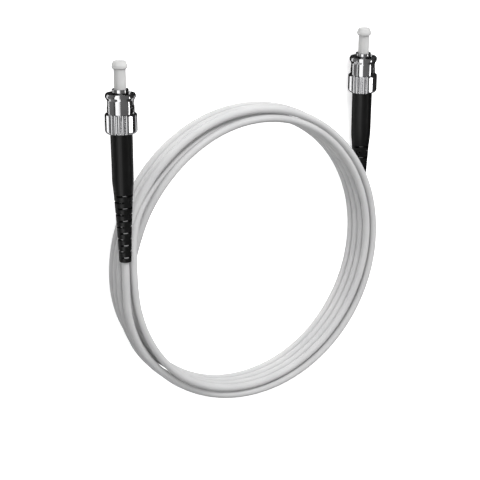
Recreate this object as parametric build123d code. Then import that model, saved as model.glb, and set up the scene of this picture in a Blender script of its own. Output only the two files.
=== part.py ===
from build123d import *
import os
from math import cos, pi, radians, sin, tan

os.makedirs("parts", exist_ok=True)

# ST to ST fibre patch cord, lying flat: two bayonet connectors with dust caps on one coiled cable.
# Millimetres, +Z up. The origin is on the floor, midway between the two connectors. Both connectors
# point along +Y. Connector A lies on the coil's top at -X, connector B on the floor at +X.
# Each connector is modelled along +Z, with station 0 at its boot's tail and the ferrule's tip forward,
# and azimuth 0 on +X. connector_plane() then lays it in place.

# Fits, edges and cutters
SLIP_FIT = 0.05               # radial gap of pieces that slip over one another
RUNNING_FIT = 0.06            # radial gap of the nut and washer on the barrel
CLOSE_FIT = 0.02              # radial gap of the crimped sleeve on the cable
FINE_EDGE = 0.12              # rounding of a turned edge
SOFT_EDGE = 0.2               # rounding of a moulded or polished edge
CUT_PAST = 1.0                # cutters run this far past what they cut

# Cable
CABLE_R = 1.25                # 2.5 mm round simplex cable
BUFFER_R = 0.45               # 0.9 mm buffered fibre

# Boot: a cone that swells into a near-cylinder, slotted in rings so that it bends
BOOT_TAIL_R = 1.95
BOOT_NECK_R = 2.27            # the slotted cone widens faster above its neck
BOOT_WAIST_R = 3.02           # end of the slotted cone
BOOT_SHOULDER_R = 3.4
BOOT_MOUTH_R = 3.48
BOOT_NECK_AT = 9.5
BOOT_WAIST_AT = 22.2
BOOT_SHOULDER_AT = 26.2
BOOT_MOUTH_AT = 41.8
BOOT_NECK_ROUND = 200.0
BOOT_SHOULDER_ROUND = 20.0
BOOT_BORE_R = CABLE_R + SLIP_FIT
BOOT_CRIMP_CONE = 0.8         # length of the cone from the cable's bore to the crimp's
BOOT_FLANGE_SEAT_AT = 41.0
SLOT_FIRST_AT = 1.6
SLOT_PITCH = 2.03
SLOT_COUNT = 11
SLOT_WIDTH = 0.65
SLOT_BRIDGE = 2.0             # width of the two webs that join one ring to the next
SLOT_AZIMUTH = 25.0           # middle of the first ring's slot; the next ring is turned a quarter

# Crimp and backpost
CRIMP_R = 2.25
CRIMP_FROM = 31.0
JACKET_END_AT = 35.3
POST_TAIL_AT = 35.6
POST_TUBE_R = 1.55
POST_BORE_R = 0.8
POST_FLANGE_R = 2.45
POST_FLANGE_FROM = 41.2
POST_STUB_R = 1.8
POST_NOSE_AT = 44.8
BUFFER_FROM = 30.5
BUFFER_TO = 46.2

# Barrel, ferrule and clip
BARREL_TAIL_AT = 41.9
BARREL_R = 2.5
SKIRT_R = 2.6
SKIRT_BORE_R = 2.05
SKIRT_FLOOR_AT = 49.0
SKIRT_RIM_AT = 55.35
FLANGE_R = 3.45               # carries the spring's front end
FLANGE_FROM = 48.9
FLANGE_TO = 49.6
KEY_R = 3.3
KEY_ROOT_R = 2.3
KEY_WIDTH = 0.9
KEY_TO = 53.2
KEY_AZIMUTH = 75.0
FERRULE_R = 1.25              # 2.5 mm ferrule
FERRULE_TAIL_AT = 45.0
FERRULE_TIP_AT = 60.6
FERRULE_CHAMFER = 0.4
CLIP_FROM = 42.3
CLIP_TO = 42.95
CLIP_GROOVE_R = 2.25
CLIP_R = 3.15
CLIP_GAP = 60.0               # open angle of the ring

# Coupling nut
NUT_TAIL_AT = 41.55
NUT_GRIP_R = 5.0
NUT_GRIP_TO = 47.65
NUT_TAIL_ROUND = 1.1
NUT_SHOULDER_ROUND = 0.45
NUT_SHOULDER_SLOPE = 0.25
NUT_BODY_R = 4.27
NUT_FLARE_FROM = 52.0
NUT_FLARE_ROUND = 0.5
NUT_RIM_R = 4.75
NUT_RIM_FROM = 52.9
NUT_RIM_TO = 53.5
NUT_NOSE_R = 4.45
NUT_NOSE_AT = 54.1
NUT_BORE_R = 3.575            # takes an adapter's 7.05 mm barrel
NUT_CONE_FROM = 53.2
NUT_TAIL_BORE_R = 3.65
NUT_LIP_FROM = 43.0
NUT_LIP_TO = 44.2
NUT_LIP_R = BARREL_R + RUNNING_FIT
FLUTE_R = 0.55
FLUTE_AXIS_R = 5.12
FLUTE_PITCH = 13.5            # degrees
FLUTE_ZONES = (-10.0, 170.0)  # the grip is fluted in two zones, with smooth lands between them
FLUTES_PER_ZONE = 5
FLAT_OFFSET = 46.0            # a narrow flat lies on each side of a zone, this far round from its middle
FLAT_HALF_WIDTH = 7.0         # degrees
LUG_SLOT = 2.0                # width of the bayonet slot
LUG_ENTRY = 91.0              # azimuth where the adapter's lug goes in
LUG_TURN = 38.0               # angle of the ramp, down to the seat
LUG_TURN_AT = 50.9
LUG_SEAT_AT = 49.1
LUG_DETENT = 0.3              # step back towards the nose that holds the lug
KEYWAY_R = 4.15               # the lug passes under the unbroken rim through a keyway in its bore
KEYWAY_FROM = 52.35

# Spring and washer
WASHER_THICK = 0.4
WIRE_R = 0.27
SPRING_R = 3.05
SPRING_TURNS = 3.5

# Dust cap
CAP_R = 1.86
CAP_TAIL_AT = 51.0
CAP_BORE_R = FERRULE_R + 0.03  # grips the ferrule lightly
CAP_BORE_TO = 61.0
CAP_COLLAR_R = 2.42
CAP_COLLAR_AT = 61.35
CAP_COLLAR_SLOPE = 0.45
CAP_SHOULDER_AT = 62.6
CAP_SHOULDER_ROUND = 0.5
CAP_TOP_R = 1.95
CAP_TOP_AT = 63.9

# Where the connectors and the coil lie
COIL_CENTRE = Vector(-0.14, -40.3, 0)
TAIL_A = Vector(-49.74, -31.9, 11.75)
YAW_A, RISE_A, ROLL_A = -1.6, 0.0, 26.0
TAIL_B = Vector(49.225, -31.9, 1.944)
YAW_B, RISE_B, ROLL_B = 0.9, 4.1, 37.0
# Turns of the coil's section, as (radius, height): an outer and an inner stack side by side
OUTER_TURNS = [(50.2, 1.25), (50.2, 3.75), (50.2, 6.25), (50.2, 8.75)]
INNER_TURNS = [(46.55, 1.25), (46.9, 3.75), (47.05, 6.25), (47.2, 8.75)]
# The cable leaves each boot straight, then takes this route to the coil, about the coil's centre
LEAD_STRAIGHT = 6.5
ARC_SHARE = 0.45              # each arc takes up to this share of the shorter run beside it
BED_GAP = 0.15                # room round a boot where it lies in the coil
LEAD_A_ROUTE = [(-49.7, -9.6, 11.1), (-46.6, -20.4, 10.1), (-41.9, -28.6, 9.4)]
LEAD_B_ROUTE = [(50.1, -7.4, 1.35), (48.1, -16.6, 1.3)]


def turned(corners):
    """Solid turned about +Z from its section's corners: (radius, station) or (radius, station, rounding)."""
    points = [corner[:2] for corner in corners]
    rounds = [corner[2] if len(corner) == 3 else 0 for corner in corners]
    rounded = any(rounds)
    outline = FilletPolyline(*points, radius=rounds, close=True) if rounded else Polyline(*points, close=True)
    return revolve(Plane.XZ * make_face(outline), Axis.Z)


def tube(inner_r, outer_r, start, end):
    return turned([(inner_r, start), (outer_r, start), (outer_r, end), (inner_r, end)])


def rod(radius, start, end):
    return Pos(0, 0, start) * Cylinder(radius, end - start, align=(Align.CENTER, Align.CENTER, Align.MIN))


def make_boot():
    flange_bore, crimp_bore = POST_FLANGE_R + SLIP_FIT, CRIMP_R + SLIP_FIT
    shell = turned([
        (BOOT_BORE_R, 0), (BOOT_TAIL_R, 0, SOFT_EDGE), (BOOT_NECK_R, BOOT_NECK_AT, BOOT_NECK_ROUND),
        (BOOT_WAIST_R, BOOT_WAIST_AT), (BOOT_SHOULDER_R, BOOT_SHOULDER_AT, BOOT_SHOULDER_ROUND),
        (BOOT_MOUTH_R, BOOT_MOUTH_AT, SOFT_EDGE), (flange_bore, BOOT_MOUTH_AT),
        (flange_bore, BOOT_FLANGE_SEAT_AT), (crimp_bore, BOOT_FLANGE_SEAT_AT), (crimp_bore, CRIMP_FROM),
        (BOOT_BORE_R, CRIMP_FROM - BOOT_CRIMP_CONE)])
    ring = Cylinder(BOOT_MOUTH_R + CUT_PAST, SLOT_WIDTH) - Box(SLOT_BRIDGE, 3 * BOOT_MOUTH_R, 2 * SLOT_WIDTH)
    for k in range(SLOT_COUNT):
        quarter = 90 * (k % 2)
        shell -= Pos(0, 0, SLOT_FIRST_AT + k * SLOT_PITCH) * Rot(0, 0, SLOT_AZIMUTH - quarter) * ring
    return shell


def make_crimp_sleeve():
    cable_bore, post_bore = CABLE_R + CLOSE_FIT, POST_TUBE_R + SLIP_FIT
    return turned([
        (cable_bore, CRIMP_FROM), (CRIMP_R, CRIMP_FROM), (CRIMP_R, POST_FLANGE_FROM),
        (post_bore, POST_FLANGE_FROM), (post_bore, JACKET_END_AT), (cable_bore, JACKET_END_AT)])


def make_backpost():
    return turned([
        (POST_BORE_R, POST_TAIL_AT), (POST_TUBE_R, POST_TAIL_AT), (POST_TUBE_R, POST_FLANGE_FROM),
        (POST_FLANGE_R, POST_FLANGE_FROM), (POST_FLANGE_R, BARREL_TAIL_AT), (POST_STUB_R, BARREL_TAIL_AT),
        (POST_STUB_R, POST_NOSE_AT), (POST_BORE_R, POST_NOSE_AT)])


def make_barrel():
    body = turned([
        (POST_STUB_R, BARREL_TAIL_AT), (BARREL_R, BARREL_TAIL_AT), (BARREL_R, CLIP_FROM),
        (CLIP_GROOVE_R, CLIP_FROM), (CLIP_GROOVE_R, CLIP_TO), (BARREL_R, CLIP_TO), (BARREL_R, FLANGE_FROM),
        (FLANGE_R, FLANGE_FROM), (FLANGE_R, FLANGE_TO), (SKIRT_R, FLANGE_TO),
        (SKIRT_R, SKIRT_RIM_AT, FINE_EDGE), (SKIRT_BORE_R, SKIRT_RIM_AT, FINE_EDGE),
        (SKIRT_BORE_R, SKIRT_FLOOR_AT), (FERRULE_R, SKIRT_FLOOR_AT), (FERRULE_R, FERRULE_TAIL_AT),
        (POST_STUB_R, FERRULE_TAIL_AT)])
    key = Pos(KEY_ROOT_R, 0, FLANGE_TO) * Box(
        KEY_R - KEY_ROOT_R, KEY_WIDTH, KEY_TO - FLANGE_TO, align=(Align.MIN, Align.CENTER, Align.MIN))
    return body + Rot(0, 0, KEY_AZIMUTH) * key


def make_ferrule():
    nose = FERRULE_R - FERRULE_CHAMFER
    return turned([
        (BUFFER_R, FERRULE_TAIL_AT), (FERRULE_R, FERRULE_TAIL_AT),
        (FERRULE_R, FERRULE_TIP_AT - FERRULE_CHAMFER), (nose, FERRULE_TIP_AT), (0, FERRULE_TIP_AT),
        (0, BUFFER_TO), (BUFFER_R, BUFFER_TO)])


def make_clip():
    ring = tube(CLIP_GROOVE_R, CLIP_R, CLIP_FROM, CLIP_TO)
    mouth = Pos(CLIP_R, 0, CLIP_FROM) * Box(2 * CLIP_R, 2 * CLIP_R * sin(radians(CLIP_GAP / 2)), CLIP_R)
    return ring - Rot(0, 0, 180) * mouth


def lug_slot():
    """Cutter for one bayonet slot: under the rim, down a ramp through the wall and into a round seat."""
    mid_r = (NUT_BORE_R + NUT_RIM_R) / 2
    depth = 2 * (NUT_RIM_R - mid_r) + CUT_PAST
    hole = Pos(mid_r, 0, 0) * Cylinder(LUG_SLOT / 2, depth, rotation=(0, 90, 0))
    drop = LUG_TURN_AT - LUG_SEAT_AT
    ramp_path = Helix(pitch=drop * 360 / LUG_TURN, height=drop, radius=mid_r)
    start = Plane(origin=ramp_path @ 0, x_dir=(1, 0, 0), z_dir=ramp_path % 0)
    ramp = sweep(start * Rectangle(depth, LUG_SLOT), path=ramp_path, is_frenet=True)
    window = Pos(mid_r, 0, LUG_TURN_AT) * Box(
        depth, LUG_SLOT, KEYWAY_FROM - LUG_TURN_AT, align=(Align.CENTER, Align.CENTER, Align.MIN))
    keyway = Pos(0, 0, LUG_TURN_AT) * Box(
        KEYWAY_R, LUG_SLOT, NUT_NOSE_AT, align=(Align.MIN, Align.CENTER, Align.MIN))
    seat = Pos(0, 0, LUG_SEAT_AT) * (ramp + hole + Pos(0, 0, LUG_DETENT) * hole)
    entry = Pos(0, 0, LUG_TURN_AT) * hole + window + keyway
    return Rot(0, 0, LUG_ENTRY - LUG_TURN) * seat + Rot(0, 0, LUG_ENTRY) * entry


def make_nut():
    nut = turned([
        (NUT_TAIL_BORE_R, NUT_TAIL_AT, SOFT_EDGE), (NUT_GRIP_R, NUT_TAIL_AT, NUT_TAIL_ROUND),
        (NUT_GRIP_R, NUT_GRIP_TO, NUT_SHOULDER_ROUND), (NUT_BODY_R, NUT_GRIP_TO + NUT_SHOULDER_SLOPE),
        (NUT_BODY_R, NUT_FLARE_FROM, NUT_FLARE_ROUND), (NUT_RIM_R, NUT_RIM_FROM, FINE_EDGE),
        (NUT_RIM_R, NUT_RIM_TO, SOFT_EDGE), (NUT_NOSE_R, NUT_NOSE_AT, FINE_EDGE),
        (NUT_BORE_R, NUT_CONE_FROM), (NUT_BORE_R, NUT_LIP_TO), (NUT_LIP_R, NUT_LIP_TO),
        (NUT_LIP_R, NUT_LIP_FROM), (NUT_TAIL_BORE_R, NUT_LIP_FROM)])
    flute = Pos(FLUTE_AXIS_R, 0, 0) * rod(FLUTE_R, NUT_TAIL_AT - CUT_PAST, NUT_GRIP_TO + CUT_PAST)
    flat = Pos(NUT_GRIP_R * cos(radians(FLAT_HALF_WIDTH)), 0, NUT_TAIL_AT) * Box(
        NUT_GRIP_R, NUT_GRIP_R, NUT_GRIP_TO - NUT_TAIL_AT, align=(Align.MIN, Align.CENTER, Align.MIN))
    for middle in FLUTE_ZONES:
        for k in range(FLUTES_PER_ZONE):
            nut -= Rot(0, 0, middle + (k - (FLUTES_PER_ZONE - 1) / 2) * FLUTE_PITCH) * flute
        for side in (-FLAT_OFFSET, FLAT_OFFSET):
            nut -= Rot(0, 0, middle + side) * flat
    for side in (0, 180):
        nut -= Rot(0, 0, side) * lug_slot()
    return nut


def make_spring():
    low, high = NUT_LIP_TO + WASHER_THICK + WIRE_R, FLANGE_FROM - WIRE_R
    path = Helix(pitch=(high - low) / SPRING_TURNS, height=high - low, radius=SPRING_R)
    wire = Plane(origin=path @ 0, z_dir=path % 0) * Circle(WIRE_R)
    return Pos(0, 0, low) * sweep(wire, path=path, is_frenet=True)


def make_cap():
    return turned([
        (CAP_BORE_R, CAP_TAIL_AT, FINE_EDGE), (CAP_R, CAP_TAIL_AT, FINE_EDGE),
        (CAP_R, CAP_COLLAR_AT, FINE_EDGE), (CAP_COLLAR_R, CAP_COLLAR_AT + CAP_COLLAR_SLOPE, SOFT_EDGE),
        (CAP_COLLAR_R, CAP_SHOULDER_AT, CAP_SHOULDER_ROUND), (CAP_TOP_R, CAP_TOP_AT, FINE_EDGE),
        (0, CAP_TOP_AT), (0, CAP_BORE_TO), (CAP_BORE_R, CAP_BORE_TO)])


def make_cable_end():
    return rod(CABLE_R, 0, JACKET_END_AT) - rod(BUFFER_R, BUFFER_FROM, JACKET_END_AT + CUT_PAST)


PIECES = {
    "boot": make_boot(),
    "crimp_sleeve": make_crimp_sleeve(),
    "backpost": make_backpost(),
    "barrel": make_barrel(),
    "ferrule": make_ferrule(),
    "clip_ring": make_clip(),
    "thrust_washer": tube(BARREL_R + RUNNING_FIT, FLANGE_R, NUT_LIP_TO, NUT_LIP_TO + WASHER_THICK),
    "coupling_nut": make_nut(),
    "nut_spring": make_spring(),
    "dust_cap": make_cap(),
    "fibre_buffer": rod(BUFFER_R, BUFFER_FROM, BUFFER_TO),
    "cable_end": make_cable_end(),
}


def connector_plane(tail, yaw, rise, roll):
    """Plane at a boot's tail, facing along the connector, which points along +Y before yaw and rise."""
    axis = Vector(-sin(radians(yaw)) * cos(radians(rise)), cos(radians(yaw)) * cos(radians(rise)),
                  sin(radians(rise)))
    side = axis.cross(Vector(0, 0, 1)).normalized()
    up = side.cross(axis)
    return Plane(origin=tail, x_dir=up * cos(radians(roll)) - side * sin(radians(roll)), z_dir=axis)


def make_lead(plane, route):
    """The cable from a boot's tail to the coil: straight runs joined by tangent arcs."""
    points = [plane.origin, plane.origin - plane.z_dir * LEAD_STRAIGHT]
    points += [COIL_CENTRE + Vector(*point) for point in route]
    radii = []
    for before, corner, after in zip(points, points[1:], points[2:]):
        run_in, run_out = corner - before, after - corner
        turn = radians(run_in.get_angle(run_out))
        radii.append(ARC_SHARE * min(run_in.length, run_out.length) / tan(turn / 2))
    path = FilletPolyline(*points, radius=radii)
    lead = sweep(Plane(origin=path @ 0, z_dir=path % 0) * Circle(CABLE_R), path=path)
    print("lead: radii", [round(r, 1) for r in radii], "length", round(path.length, 2),
          "volume/section", round(lead.volume / (pi * CABLE_R ** 2), 2))
    return lead


def make_coil(boots, leads):
    """The coiled turns as one closed ring, with a bed for each boot and lead that lies in it."""
    turns = OUTER_TURNS + INNER_TURNS
    section = make_face(Polyline(*OUTER_TURNS, *reversed(INNER_TURNS), close=True))
    for radius, height in turns:
        section += Pos(radius, height) * Circle(CABLE_R)
    ring = Pos(COIL_CENTRE) * revolve(Plane.XZ * section, Axis.Z)
    for bed in boots + leads:
        ring -= bed
    return ring


planes = {
    "a": connector_plane(TAIL_A, YAW_A, RISE_A, ROLL_A),
    "b": connector_plane(TAIL_B, YAW_B, RISE_B, ROLL_B),
}
for mark, plane in planes.items():
    for name, piece in PIECES.items():
        export_step(plane.location * piece, f"parts/{name}_{mark}.step")

lead_a = make_lead(planes["a"], LEAD_A_ROUTE)
lead_b = make_lead(planes["b"], LEAD_B_ROUTE)
boot_bed = turned([
    (0, 0), (BOOT_TAIL_R + BED_GAP, 0), (BOOT_WAIST_R + 2 * BED_GAP, BOOT_WAIST_AT), (0, BOOT_WAIST_AT)])
coil = make_coil([plane.location * boot_bed for plane in planes.values()], [lead_a, lead_b])
export_step(lead_a, "parts/cable_lead_a.step")
export_step(lead_b, "parts/cable_lead_b.step")
export_step(coil, "parts/cable_coil.step")
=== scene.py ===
from math import cos, pi, radians, sin

import bpy
import numpy as np
from mathutils import Matrix, Vector


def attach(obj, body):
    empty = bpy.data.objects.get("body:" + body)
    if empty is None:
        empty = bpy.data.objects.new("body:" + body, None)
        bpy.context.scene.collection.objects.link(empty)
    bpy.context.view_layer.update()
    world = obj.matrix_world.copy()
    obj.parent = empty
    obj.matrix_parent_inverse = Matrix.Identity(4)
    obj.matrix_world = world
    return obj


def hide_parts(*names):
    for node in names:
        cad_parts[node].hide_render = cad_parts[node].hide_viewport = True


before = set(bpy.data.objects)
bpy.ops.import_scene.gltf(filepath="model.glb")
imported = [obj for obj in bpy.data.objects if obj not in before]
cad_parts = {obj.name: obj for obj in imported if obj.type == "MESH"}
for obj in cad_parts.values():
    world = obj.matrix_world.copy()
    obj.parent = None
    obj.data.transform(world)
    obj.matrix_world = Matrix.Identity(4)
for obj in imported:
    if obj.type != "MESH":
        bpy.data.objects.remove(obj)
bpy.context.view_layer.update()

MM = 0.001

# The cable, in millimetres about the coil's centre, except where it says otherwise
CABLE_D = 2.5
COIL_CENTRE = Vector((-0.14, -40.3, 0))
TAIL_A, TAIL_B = Vector((-49.74, -31.9, 11.75)), Vector((49.225, -31.9, 1.944))   # boot tails, in the frame
AIM_A, AIM_B = (-1.6, 0.0), (0.9, 4.1)      # yaw and rise of each connector, in degrees
LEAD_STRAIGHT = 6.5
LEAD_A_ROUTE = [(-49.7, -9.6, 11.1), (-46.6, -20.4, 10.1), (-41.9, -28.6, 9.4)]
LEAD_B_ROUTE = [(50.1, -7.4, 1.35), (48.1, -16.6, 1.3)]

# Each turn as stations (angle in degrees, radius, height); angles run on past 360 into the next turn.
# Three turns wind down the outside, four climb back up the inside, and the last drops in behind
# connector A and runs out along the floor to connector B. Heights are those of turns pressed together,
# before STACK_SLACK loosens them.
OUTER_TURNS = [
    [(225, 50.3, 9.0), (245, 50.2, 8.75), (280, 50.2, 8.75), (325, 50.45, 8.75), (362, 50.55, 8.75),
     (385, 50.4, 9.05), (405, 50.2, 9.1), (460, 50.2, 9.25),
     (513, 50.2, 9.3), (525, 50.2, 8.2), (545, 50.2, 7.9), (565, 50.2, 6.95)],
    [(225, 50.2, 6.45), (245, 50.2, 6.25), (340, 50.2, 6.25), (368, 51.4, 6.75), (380, 51.4, 6.85),
     (405, 50.3, 6.6), (460, 50.2, 6.75), (513, 50.2, 6.8), (525, 50.3, 5.95), (545, 50.3, 5.35),
     (565, 50.3, 4.5)],
    [(225, 50.3, 3.95), (245, 50.2, 3.75), (340, 50.2, 3.75), (365, 49.3, 5.2), (380, 49.3, 5.3),
     (405, 50.6, 4.3), (460, 50.8, 4.25), (513, 50.7, 4.2), (525, 50.4, 3.4), (540, 50.3, 2.95),
     (550, 50.3, 2.8), (556, 50.3, 3.4), (563, 49.8, 3.8), (570, 48.8, 3.8), (577, 47.9, 3.8)],
]

# The inner turns are alike, each one pitch above the one before: angle, radius of the top turn, how much
# further in each lower one lies, and rise over the turn's own height. The sweep goes most of the way round,
# and the step, which the top turn leaves out, climbs to the next turn.
INNER_TURNS = 4
INNER_SWEEP = [
    (228, 47.75, 0.25, 2.5), (240, 47.7, 0.25, 1.6), (255, 47.5, 0.25, 0.7), (275, 47.25, 0.28, 0.15),
    (300, 47.05, 0.3, 0), (325, 46.95, 0.34, 0), (343, 47.3, 0.38, 0), (357, 47.55, 0.38, 0),
    (370, 47.8, 0.34, 0), (390, 47.85, 0.2, 0), (408, 47.85, 0.08, 0.2), (420, 47.8, 0.05, 0.35),
    (430, 47.6, 0, 0.55), (445, 47.15, 0, 0.95), (460, 46.75, 0, 1.35), (475, 46.45, 0, 1.9),
    (490, 46.4, 0, 2.3),
]
INNER_STEP = [
    (500, 46.9, 0, 2.4), (510, 48.25, 0, 2.2), (517, 48.15, 0, 2.4), (525, 47.4, 0, 3.5),
    (535, 45.9, -0.5, 4.45), (544, 46.35, -0.4, 4.75), (553, 46.85, -0.2, 4.95), (562, 47.2, 0, 5.0),
    (575, 47.55, 0.1, 5.0),
]
LAST_DROP = [
    (501, 46.2, 10.6), (510, 46.1, 10.0), (518, 45.75, 9.2), (525, 45.25, 8.0), (532, 44.8, 6.0),
    (540, 44.9, 3.8), (548, 45.3, 2.2), (553, 46.3, 1.25), (558, 47.7, 1.25), (564, 49.3, 1.25),
    (571, 50.1, 1.25), (700, 50.2, 1.25),
]
TURN_PITCH = 2.5                            # height from one turn to the next, pressed together
STACK_SLACK = 1.045                         # the turns lie this much looser than that
POINTS_PER_TURN = 40

# The camera looks down on the coil from its left and from a little beyond the connectors' tips
CAMERA_AIM = Vector((-0.04, -37.25, 0))
CAMERA_FROM = Vector((-0.4894, 0.3050, 0.8170))
CAMERA_DISTANCE = 437.4
CAMERA_ROLL = -1.6                          # degrees
CAMERA_LENS = 94.8
SENSOR_WIDTH = 36

FLOOR_HALF = 3.0                            # metres

# How bright the room is round the connectors' axis, at angles from its left side (-X) through below (90),
# the right side (180) and above (270)
ROOM_GLOW = [
    (0, 0.16), (45, 0.20),
    (46.8, 1.9), (50.2, 1.9),               # mirrored by the narrow flats of nut A
    (51, 0.12), (56.5, 0.12),
    (57.4, 1.9), (61, 1.9),                 # mirrored by the narrow flats of nut B
    (62, 0.03), (120, 0.02), (180, 0.03), (213, 0.05), (232, 0.15), (270, 0.17), (302, 0.17),
    (308, 1.5), (337, 1.9),                 # the stripe down both nuts' bodies
    (342, 0.06), (352, 0.06), (358, 0.16),
]


# Materials ---------------------------------------------------------------------------------------

RAMP_ENDS = (0.3, 0.7)                      # the part of a noise's range that a ramp spreads out

def node_material(name, **sockets):
    """A Principled material with the given sockets set; returns its tree and shader too."""
    material = bpy.data.materials.new(name)
    material.use_nodes = True
    tree = material.node_tree
    shader = tree.nodes["Principled BSDF"]
    for socket, value in sockets.items():
        shader.inputs[socket.replace("_", " ")].default_value = value
    return material, tree, shader


def add_noise(tree, scale, stretch=(1, 1, 1), detail=4.0):
    """Noise in the object's own metres; returns its factor socket."""
    place = tree.nodes.new("ShaderNodeTexCoord")
    mapping = tree.nodes.new("ShaderNodeMapping")
    mapping.inputs["Scale"].default_value = stretch
    noise = tree.nodes.new("ShaderNodeTexNoise")
    noise.inputs["Scale"].default_value = scale
    noise.inputs["Detail"].default_value = detail
    tree.links.new(place.outputs["Object"], mapping.inputs["Vector"])
    tree.links.new(mapping.outputs["Vector"], noise.inputs["Vector"])
    return noise.outputs["Fac"]


def add_ramp(tree, factor, low, high, target):
    """Map a factor between two greys or colours into the target socket."""
    ramp = tree.nodes.new("ShaderNodeValToRGB")
    for element, position, value in zip(ramp.color_ramp.elements, RAMP_ENDS, (low, high)):
        element.position = position
        element.color = (value, value, value, 1) if isinstance(value, float) else (*value, 1)
    tree.links.new(factor, ramp.inputs["Fac"])
    tree.links.new(ramp.outputs["Color"], target)


def add_bump(tree, shader, factor, strength, distance):
    """Bumps of a depth in metres, as high as the factor says."""
    bump = tree.nodes.new("ShaderNodeBump")
    bump.inputs["Strength"].default_value = strength
    bump.inputs["Distance"].default_value = distance
    tree.links.new(factor, bump.inputs["Height"])
    tree.links.new(bump.outputs["Normal"], shader.inputs["Normal"])


def make_jacket():
    material, tree, shader = node_material("jacket_pvc", Specular_IOR_Level=0.4)
    add_ramp(tree, add_noise(tree, scale=90), (0.47, 0.47, 0.475), (0.52, 0.52, 0.52),
             shader.inputs["Base Color"])
    add_ramp(tree, add_noise(tree, scale=900), 0.42, 0.56, shader.inputs["Roughness"])
    add_bump(tree, shader, add_noise(tree, scale=2500, detail=2.0), strength=0.12, distance=0.00004)
    return material


def make_rubber():
    material, tree, shader = node_material("boot_rubber", Specular_IOR_Level=0.35)
    add_ramp(tree, add_noise(tree, scale=300), (0.001, 0.001, 0.001), (0.003, 0.003, 0.003),
             shader.inputs["Base Color"])
    add_ramp(tree, add_noise(tree, scale=1500), 0.36, 0.46, shader.inputs["Roughness"])
    add_bump(tree, shader, add_noise(tree, scale=6000, detail=3.0), strength=0.18, distance=0.00003)
    return material


def make_plate():
    """Bright nickel over turned brass, with fine rings left by the lathe."""
    material, tree, shader = node_material("nickel_plate", Metallic=1.0)
    add_ramp(tree, add_noise(tree, scale=250), (0.56, 0.56, 0.57), (0.66, 0.66, 0.67),
             shader.inputs["Base Color"])
    rings = add_noise(tree, scale=12, stretch=(6, 400, 6), detail=6.0)
    add_ramp(tree, rings, 0.06, 0.14, shader.inputs["Roughness"])
    add_bump(tree, shader, rings, strength=0.03, distance=0.00001)
    return material


def make_steel(name, tone, stretch):
    """Plain steel of a grey tone, its grain drawn out by the stretch."""
    material, tree, shader = node_material(name, Metallic=1.0)
    grain = add_noise(tree, scale=20, stretch=stretch, detail=6.0)
    add_ramp(tree, grain, (tone * 0.85,) * 3, (tone * 1.1,) * 3, shader.inputs["Base Color"])
    add_ramp(tree, grain, 0.22, 0.38, shader.inputs["Roughness"])
    add_bump(tree, shader, grain, strength=0.15, distance=0.00001)
    return material


def make_cap():
    material, tree, shader = node_material(
        "cap_polyethylene", Subsurface_Weight=0.3, Subsurface_Radius=(0.5, 0.5, 0.48),
        Subsurface_Scale=0.001, IOR=1.5)
    add_ramp(tree, add_noise(tree, scale=200), (0.49, 0.49, 0.49), (0.54, 0.54, 0.535),
             shader.inputs["Base Color"])
    add_ramp(tree, add_noise(tree, scale=700), 0.34, 0.46, shader.inputs["Roughness"])
    add_bump(tree, shader, add_noise(tree, scale=1800, detail=2.0), strength=0.1, distance=0.00003)
    return material


def make_zirconia():
    material, tree, shader = node_material("ferrule_zirconia", Coat_Weight=0.5, Coat_Roughness=0.05)
    add_ramp(tree, add_noise(tree, scale=400), (0.82, 0.81, 0.78), (0.88, 0.87, 0.85),
             shader.inputs["Base Color"])
    add_ramp(tree, add_noise(tree, scale=1500), 0.10, 0.18, shader.inputs["Roughness"])
    return material


jacket, rubber, plate, cap = make_jacket(), make_rubber(), make_plate(), make_cap()
steel = make_steel("satin_steel", tone=0.6, stretch=(10, 300, 10))
wire = make_steel("spring_wire", tone=0.45, stretch=(60, 60, 60))
NODE_MATERIALS = {
    "boot": rubber, "crimp_sleeve": steel, "backpost": plate, "barrel": plate, "ferrule": make_zirconia(),
    "clip_ring": steel, "thrust_washer": steel, "coupling_nut": plate, "nut_spring": wire, "dust_cap": cap,
    "fibre_buffer": jacket, "cable_end": jacket}
for mark in "ab":
    for name, material in NODE_MATERIALS.items():
        data = bpy.data.objects[f"{name}_{mark}"].data
        data.materials.clear()
        data.materials.append(material)


# The cable ---------------------------------------------------------------------------------------

def straight_out(tail, aim):
    """The boot's tail, and the point where the cable's straight exit ends, about the coil's centre."""
    yaw, rise = (radians(angle) for angle in aim)
    axis = Vector((-sin(yaw) * cos(rise), cos(yaw) * cos(rise), sin(rise)))
    start = tail - COIL_CENTRE
    return [start, start - axis * LEAD_STRAIGHT]


def coil_stations():
    """All turns' stations in one row, from lead A to lead B."""
    stations = []
    for turn, outer in enumerate(OUTER_TURNS):
        stations += [(angle + 360 * turn, radius, height) for angle, radius, height in outer]
    for turn in range(INNER_TURNS):
        past = 360 * (len(OUTER_TURNS) + turn)
        floor = CABLE_D / 2 + TURN_PITCH * turn
        below = INNER_TURNS - 1 - turn
        sweep = INNER_SWEEP + INNER_STEP if below else INNER_SWEEP
        stations += [(angle + past, radius - lean * below, floor + up) for angle, radius, lean, up in sweep]
    stations += [(angle + past, radius, height) for angle, radius, height in LAST_DROP]
    return np.array(stations)


def coil_points():
    """Control points of the coil's turns. Where the curve is nearest to one, three quarters of its place come
    from it and a quarter from its two neighbours, so they are set out a little to give the right radius."""
    angles, radii, heights = coil_stations().T
    step = 360 / POINTS_PER_TURN
    out = 1 / (0.75 + 0.25 * cos(radians(step)))
    points = []
    for angle in np.arange(angles[0], angles[-1] - step, step):
        radius, height = np.interp(angle, angles, radii) * out, np.interp(angle, angles, heights)
        height = CABLE_D / 2 + (height - CABLE_D / 2) * STACK_SLACK
        points.append(Vector((radius * cos(radians(angle)), radius * sin(radians(angle)), height)))
    return points


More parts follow.
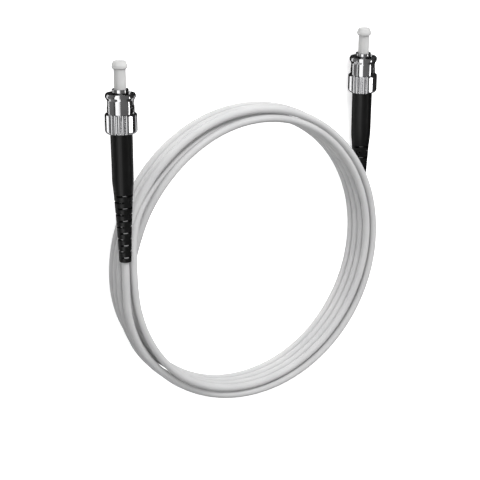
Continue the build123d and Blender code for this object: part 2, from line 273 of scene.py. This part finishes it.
def make_cable():
    """The whole cable from boot to boot, as one smooth curve."""
    route = straight_out(TAIL_A, AIM_A) + [Vector(p) for p in LEAD_A_ROUTE] + coil_points()
    route += [Vector(p) for p in reversed(LEAD_B_ROUTE)] + straight_out(TAIL_B, AIM_B)[::-1]
    curve = bpy.data.curves.new("patch_cable", "CURVE")
    curve.dimensions = "3D"
    curve.bevel_depth = CABLE_D / 2 * MM
    curve.bevel_resolution = 7
    curve.resolution_u = 4
    curve.use_fill_caps = True
    spline = curve.splines.new("NURBS")
    spline.points.add(len(route) - 1)
    for point, place in zip(spline.points, route):
        point.co = (*((COIL_CENTRE + place) * MM), 1)
    spline.order_u = 3
    spline.use_endpoint_u = True
    cable = bpy.data.objects.new("patch_cable", curve)
    bpy.context.collection.objects.link(cable)
    curve.materials.append(jacket)
    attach(cable, "cord")
    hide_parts("cable_coil", "cable_lead_a", "cable_lead_b")


make_cable()


# Floor, light and camera -------------------------------------------------------------------------

def make_floor():
    """A plain white floor that plated metal doesn't mirror."""
    far = FLOOR_HALF
    mesh = bpy.data.meshes.new("floor")
    mesh.from_pydata([(-far, -far, 0), (far, -far, 0), (far, far, 0), (-far, far, 0)], [], [(0, 1, 2, 3)])
    floor = bpy.data.objects.new("floor", mesh)
    bpy.context.collection.objects.link(floor)
    material, _, _ = node_material(
        "floor_white", Roughness=0.9, Specular_IOR_Level=0.1, Base_Color=(0.92, 0.92, 0.92, 1),
        Emission_Color=(1, 1, 1, 1), Emission_Strength=0.5)
    mesh.materials.append(material)
    floor.visible_glossy = False


def add_softbox(name, place, size, power, aim=(0, 0, 0), mirrored=False, lights=True, shadow=True):
    """A softbox at a place in metres, of a power in watts. Its size is across and along the connectors. It
    can be one that shiny metal mirrors but that throws no light, or the other way round, and it can cast
    no shadows."""
    light = bpy.data.lights.new(name, "AREA")
    light.shape = "RECTANGLE"
    light.size, light.size_y = size
    light.energy = power
    light.use_shadow = shadow
    holder = bpy.data.objects.new(name, light)
    bpy.context.collection.objects.link(holder)
    holder.visible_glossy, holder.visible_diffuse = mirrored, lights
    back = (Vector(place) - Vector(aim)).normalized()
    along = Vector((0, 1, 0)) if abs(back.y) < 0.9 else Vector((0, 0, 1))
    side = along.cross(back).normalized()
    turn = Matrix((side, back.cross(side), back)).transposed().to_4x4()
    holder.matrix_world = Matrix.Translation(place) @ turn


def make_world():
    """The dim room that plated metal mirrors: bands of light that run along the connectors."""
    world = bpy.data.worlds.new("studio")
    bpy.context.scene.world = world
    world.use_nodes = True
    world.cycles_visibility.diffuse = False
    tree = world.node_tree
    place = tree.nodes.new("ShaderNodeTexCoord")
    split = tree.nodes.new("ShaderNodeSeparateXYZ")
    turn = tree.nodes.new("ShaderNodeMath")
    turn.operation = "ARCTAN2"
    share = tree.nodes.new("ShaderNodeMath")
    share.operation = "MULTIPLY_ADD"
    share.inputs[1].default_value, share.inputs[2].default_value = 0.5 / pi, 0.5
    ramp = tree.nodes.new("ShaderNodeValToRGB")
    while len(ramp.color_ramp.elements) < len(ROOM_GLOW):
        ramp.color_ramp.elements.new(0.5)
    for element, (angle, glow) in zip(ramp.color_ramp.elements, ROOM_GLOW):
        element.position = angle / 360
        element.color = (glow, glow, glow, 1)
    tree.links.new(place.outputs["Generated"], split.inputs["Vector"])
    tree.links.new(split.outputs["Z"], turn.inputs[0])
    tree.links.new(split.outputs["X"], turn.inputs[1])
    tree.links.new(turn.outputs[0], share.inputs[0])
    tree.links.new(share.outputs[0], ramp.inputs["Fac"])
    tree.links.new(ramp.outputs["Color"], tree.nodes["Background"].inputs["Color"])


def make_camera():
    """The photo's camera."""
    camera = bpy.data.objects.new("camera", bpy.data.cameras.new("camera"))
    bpy.context.collection.objects.link(camera)
    camera.data.lens = CAMERA_LENS
    camera.data.sensor_width = SENSOR_WIDTH
    camera.data.clip_start = 0.01
    back = CAMERA_FROM.normalized()
    right = Vector((0, 1, 0)).cross(back).normalized()
    turn = Matrix((right, back.cross(right), back)).transposed().to_4x4()
    place = (CAMERA_AIM + back * CAMERA_DISTANCE) * MM
    camera.matrix_world = Matrix.Translation(place) @ turn @ Matrix.Rotation(radians(CAMERA_ROLL), 4, "Z")
    bpy.context.scene.camera = camera


make_floor()
make_world()
add_softbox("key_far", place=(0.08, 0.62, 0.48), size=(0.8, 0.35), power=6.3)
add_softbox("key_open", place=(0.05, 0.55, 0.65), size=(0.5, 0.5), power=2.8, shadow=False)
add_softbox("front_fill", place=(0.1, -0.55, 0.9), size=(0.9, 0.9), power=3.5)
add_softbox("top_fill", place=(0.0, 0.0, 1.3), size=(1.2, 1.2), power=4.5)
add_softbox("right_card", place=(0.278, -0.081, 0.335), size=(0.04, 0.10), power=0.06,
            aim=(-0.05, 0.01, 0.012), mirrored=True, lights=False)
make_camera()
bpy.context.scene.view_settings.view_transform = "Standard"
